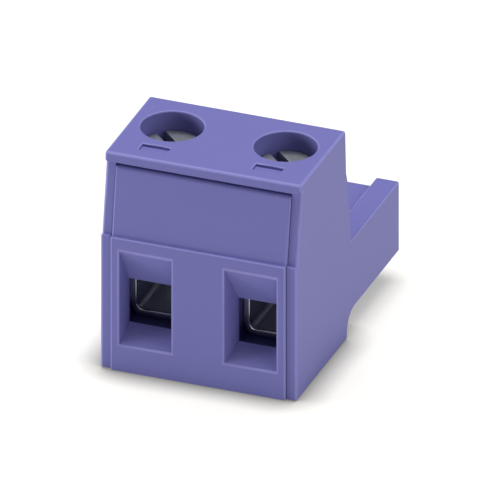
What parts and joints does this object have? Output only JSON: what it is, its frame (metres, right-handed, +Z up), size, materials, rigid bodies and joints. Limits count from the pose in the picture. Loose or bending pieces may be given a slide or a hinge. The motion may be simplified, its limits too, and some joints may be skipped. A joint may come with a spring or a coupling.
{
  "type": "pluggable terminal block",
  "caption": "Pluggable screw terminal block: a moulded plug with funnel wire entries in front, clamp screws in wells on top and pin sockets at the rear.",
  "frame": {"origin": "middle of the bounding box's underside, on the surface that the block's base stands on", "axes": "+X across the poles, +Y from the wire side to the plug side, +Z up along the screws"},
  "size_m": [0.0132, 0.0184, 0.015],
  "materials": {
    "housing_nylon": "moulded polyamide, violet blue, fine satin",
    "cover_nylon": "moulded polyamide, violet blue, fine satin",
    "contact_alloy": "stamped copper alloy, tin plated",
    "sleeve_steel": "folded steel sheet, zinc plated",
    "screw_steel": "cold headed steel, zinc plated"
  },
  "bodies": {
    "plug_body": {"housing": "housing_nylon", "front_cover": "cover_nylon", "contact_left": "contact_alloy", "contact_right": "contact_alloy"},
    "screw_left": {"screw_left": "screw_steel"},
    "screw_right": {"screw_right": "screw_steel"},
    "clamp_left": {"clamp_sleeve_left": "sleeve_steel"},
    "clamp_right": {"clamp_sleeve_right": "sleeve_steel"}
  },
  "joints": [
    {"name": "screw_left_turn", "type": "hinge", "parent": "plug_body", "child": "screw_left", "pos_m": [-0.00381, -0.00363, 0.012], "axis": [0, 0, -1], "range_deg": [0, 2160]},
    {"name": "screw_right_turn", "type": "hinge", "parent": "plug_body", "child": "screw_right", "pos_m": [0.00381, -0.00363, 0.012], "axis": [0, 0, -1], "range_deg": [0, 2160]},
    {"name": "clamp_left_rise", "type": "slide", "parent": "plug_body", "child": "clamp_left", "axis": [0, 0, 1], "range_m": [0, 0.003]},
    {"name": "clamp_right_rise", "type": "slide", "parent": "plug_body", "child": "clamp_right", "axis": [0, 0, 1], "range_m": [0, 0.003]}
  ],
  "couplings": [
    {"joint": "screw_left_turn", "follows": "clamp_left_rise", "rad_per_m": 12566},
    {"joint": "screw_right_turn", "follows": "clamp_right_rise", "rad_per_m": 12566}
  ]
}
